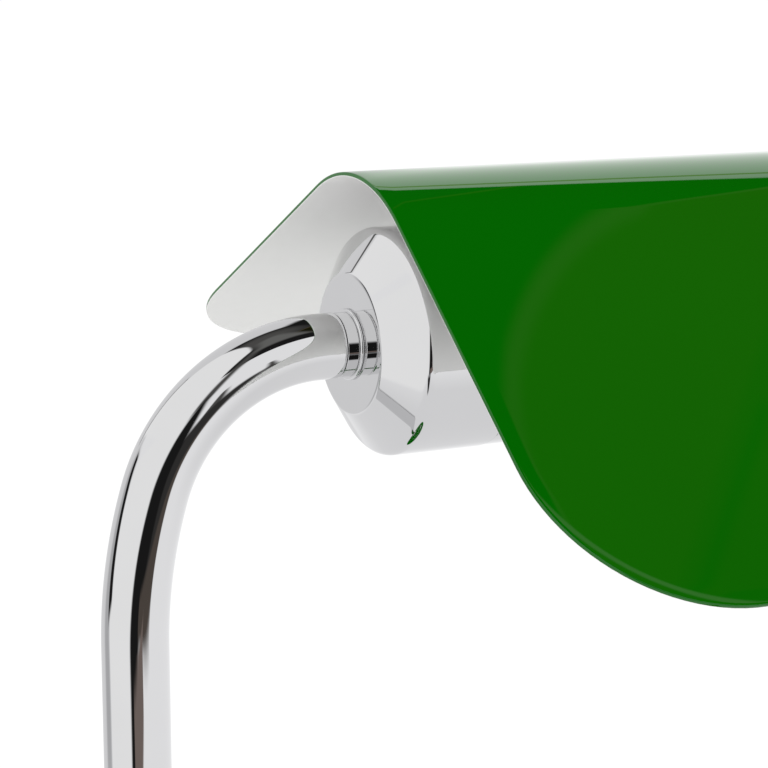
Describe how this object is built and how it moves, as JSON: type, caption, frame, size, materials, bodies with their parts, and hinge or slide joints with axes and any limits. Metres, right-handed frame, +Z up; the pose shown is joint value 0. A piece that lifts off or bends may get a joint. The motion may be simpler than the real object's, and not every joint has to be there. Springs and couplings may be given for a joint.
{
  "type": "banker desk lamp",
  "caption": "Desk lamp with a long tent-shaped metal shade that swivels about a bent tube stem on a round weighted base with a push button.",
  "frame": {"origin": "middle of the round base, on the surface that the lamp stands on", "axes": "+Z up along the stem, +X along the lamp axis from the stem towards the bulb, -Y to the front of the shade"},
  "size_m": [0.3183, 0.2015, 0.3613],
  "materials": {
    "felt": "pressed wool felt",
    "steel": "zinc plated",
    "cast_iron": "as cast",
    "green_enamel": "high gloss enamel",
    "white_enamel": "satin enamel, the shade's inside",
    "rubber": "matte",
    "white_plastic": "matte",
    "brass": "bright",
    "black_plastic": "satin moulded",
    "chrome": "polished chrome plate",
    "live_core": "smooth",
    "neutral_core": "smooth",
    "flex_sheath": "smooth",
    "fibre": "pressed fibre",
    "ceramic": "unglazed",
    "opal_glass": "opal, satin"
  },
  "bodies": {
    "base_and_stem": {"felt_pad": "felt", "base_plate": "steel", "plate_screw_1": "steel", "plate_screw_2": "steel", "plate_screw_3": "steel", "stem_nipple": "steel", "stem_nut": "steel", "stem_washer": "steel", "stop_washer": "steel", "spring_washer": "steel", "swivel_nut": "steel", "base_weight": "cast_iron", "base_cover": "green_enamel", "cable_bush": "rubber", "terminal_block": "white_plastic", "terminal_clamp_1": "brass", "terminal_clamp_2": "brass", "stem_insert": "brass", "switch_body": "black_plastic", "switch_bezel": "chrome", "stem_tube": "chrome", "stem_collar": "chrome", "neck_spigot": "chrome", "neck_washer": "chrome", "switch_wire_1": "live_core", "switch_wire_2": "neutral_core", "stem_flex": "flex_sheath", "friction_washer": "fibre"},
    "head": {"stop_pin": "steel", "end_cap": "chrome", "holder_sleeve": "chrome", "holder_nipple": "steel", "holder_nut": "steel", "lampholder_body": "black_plastic", "contact_insert": "ceramic", "centre_contact": "brass", "thread_shell": "brass", "terminal_screw_1": "brass", "terminal_screw_2": "brass", "lampholder_core_1": "live_core", "lampholder_core_2": "neutral_core", "shade_sheet": "green_enamel", "shade_bracket": "steel", "shade_ring": "black_plastic"},
    "bulb": {"bulb_contact": "brass", "bulb_insulator": "black_plastic", "bulb_cap": "chrome", "bulb_glass": "opal_glass"},
    "button": {"push_button": "chrome"}
  },
  "joints": [
    {"name": "head_tilt", "type": "hinge", "parent": "base_and_stem", "child": "head", "pos_m": [-0.01675, 0, 0.325], "axis": [1, 0, 0], "range_deg": [-66, 54]},
    {"name": "bulb_out", "type": "slide", "parent": "head", "child": "bulb", "axis": [1, 0, 0], "range_m": [0, 0.025]},
    {"name": "button_press", "type": "slide", "parent": "base_and_stem", "child": "button", "axis": [0, 0, -1], "range_m": [0, 0.003], "stiffness_N_per_m": 600, "springref_m": -0.003}
  ]
}
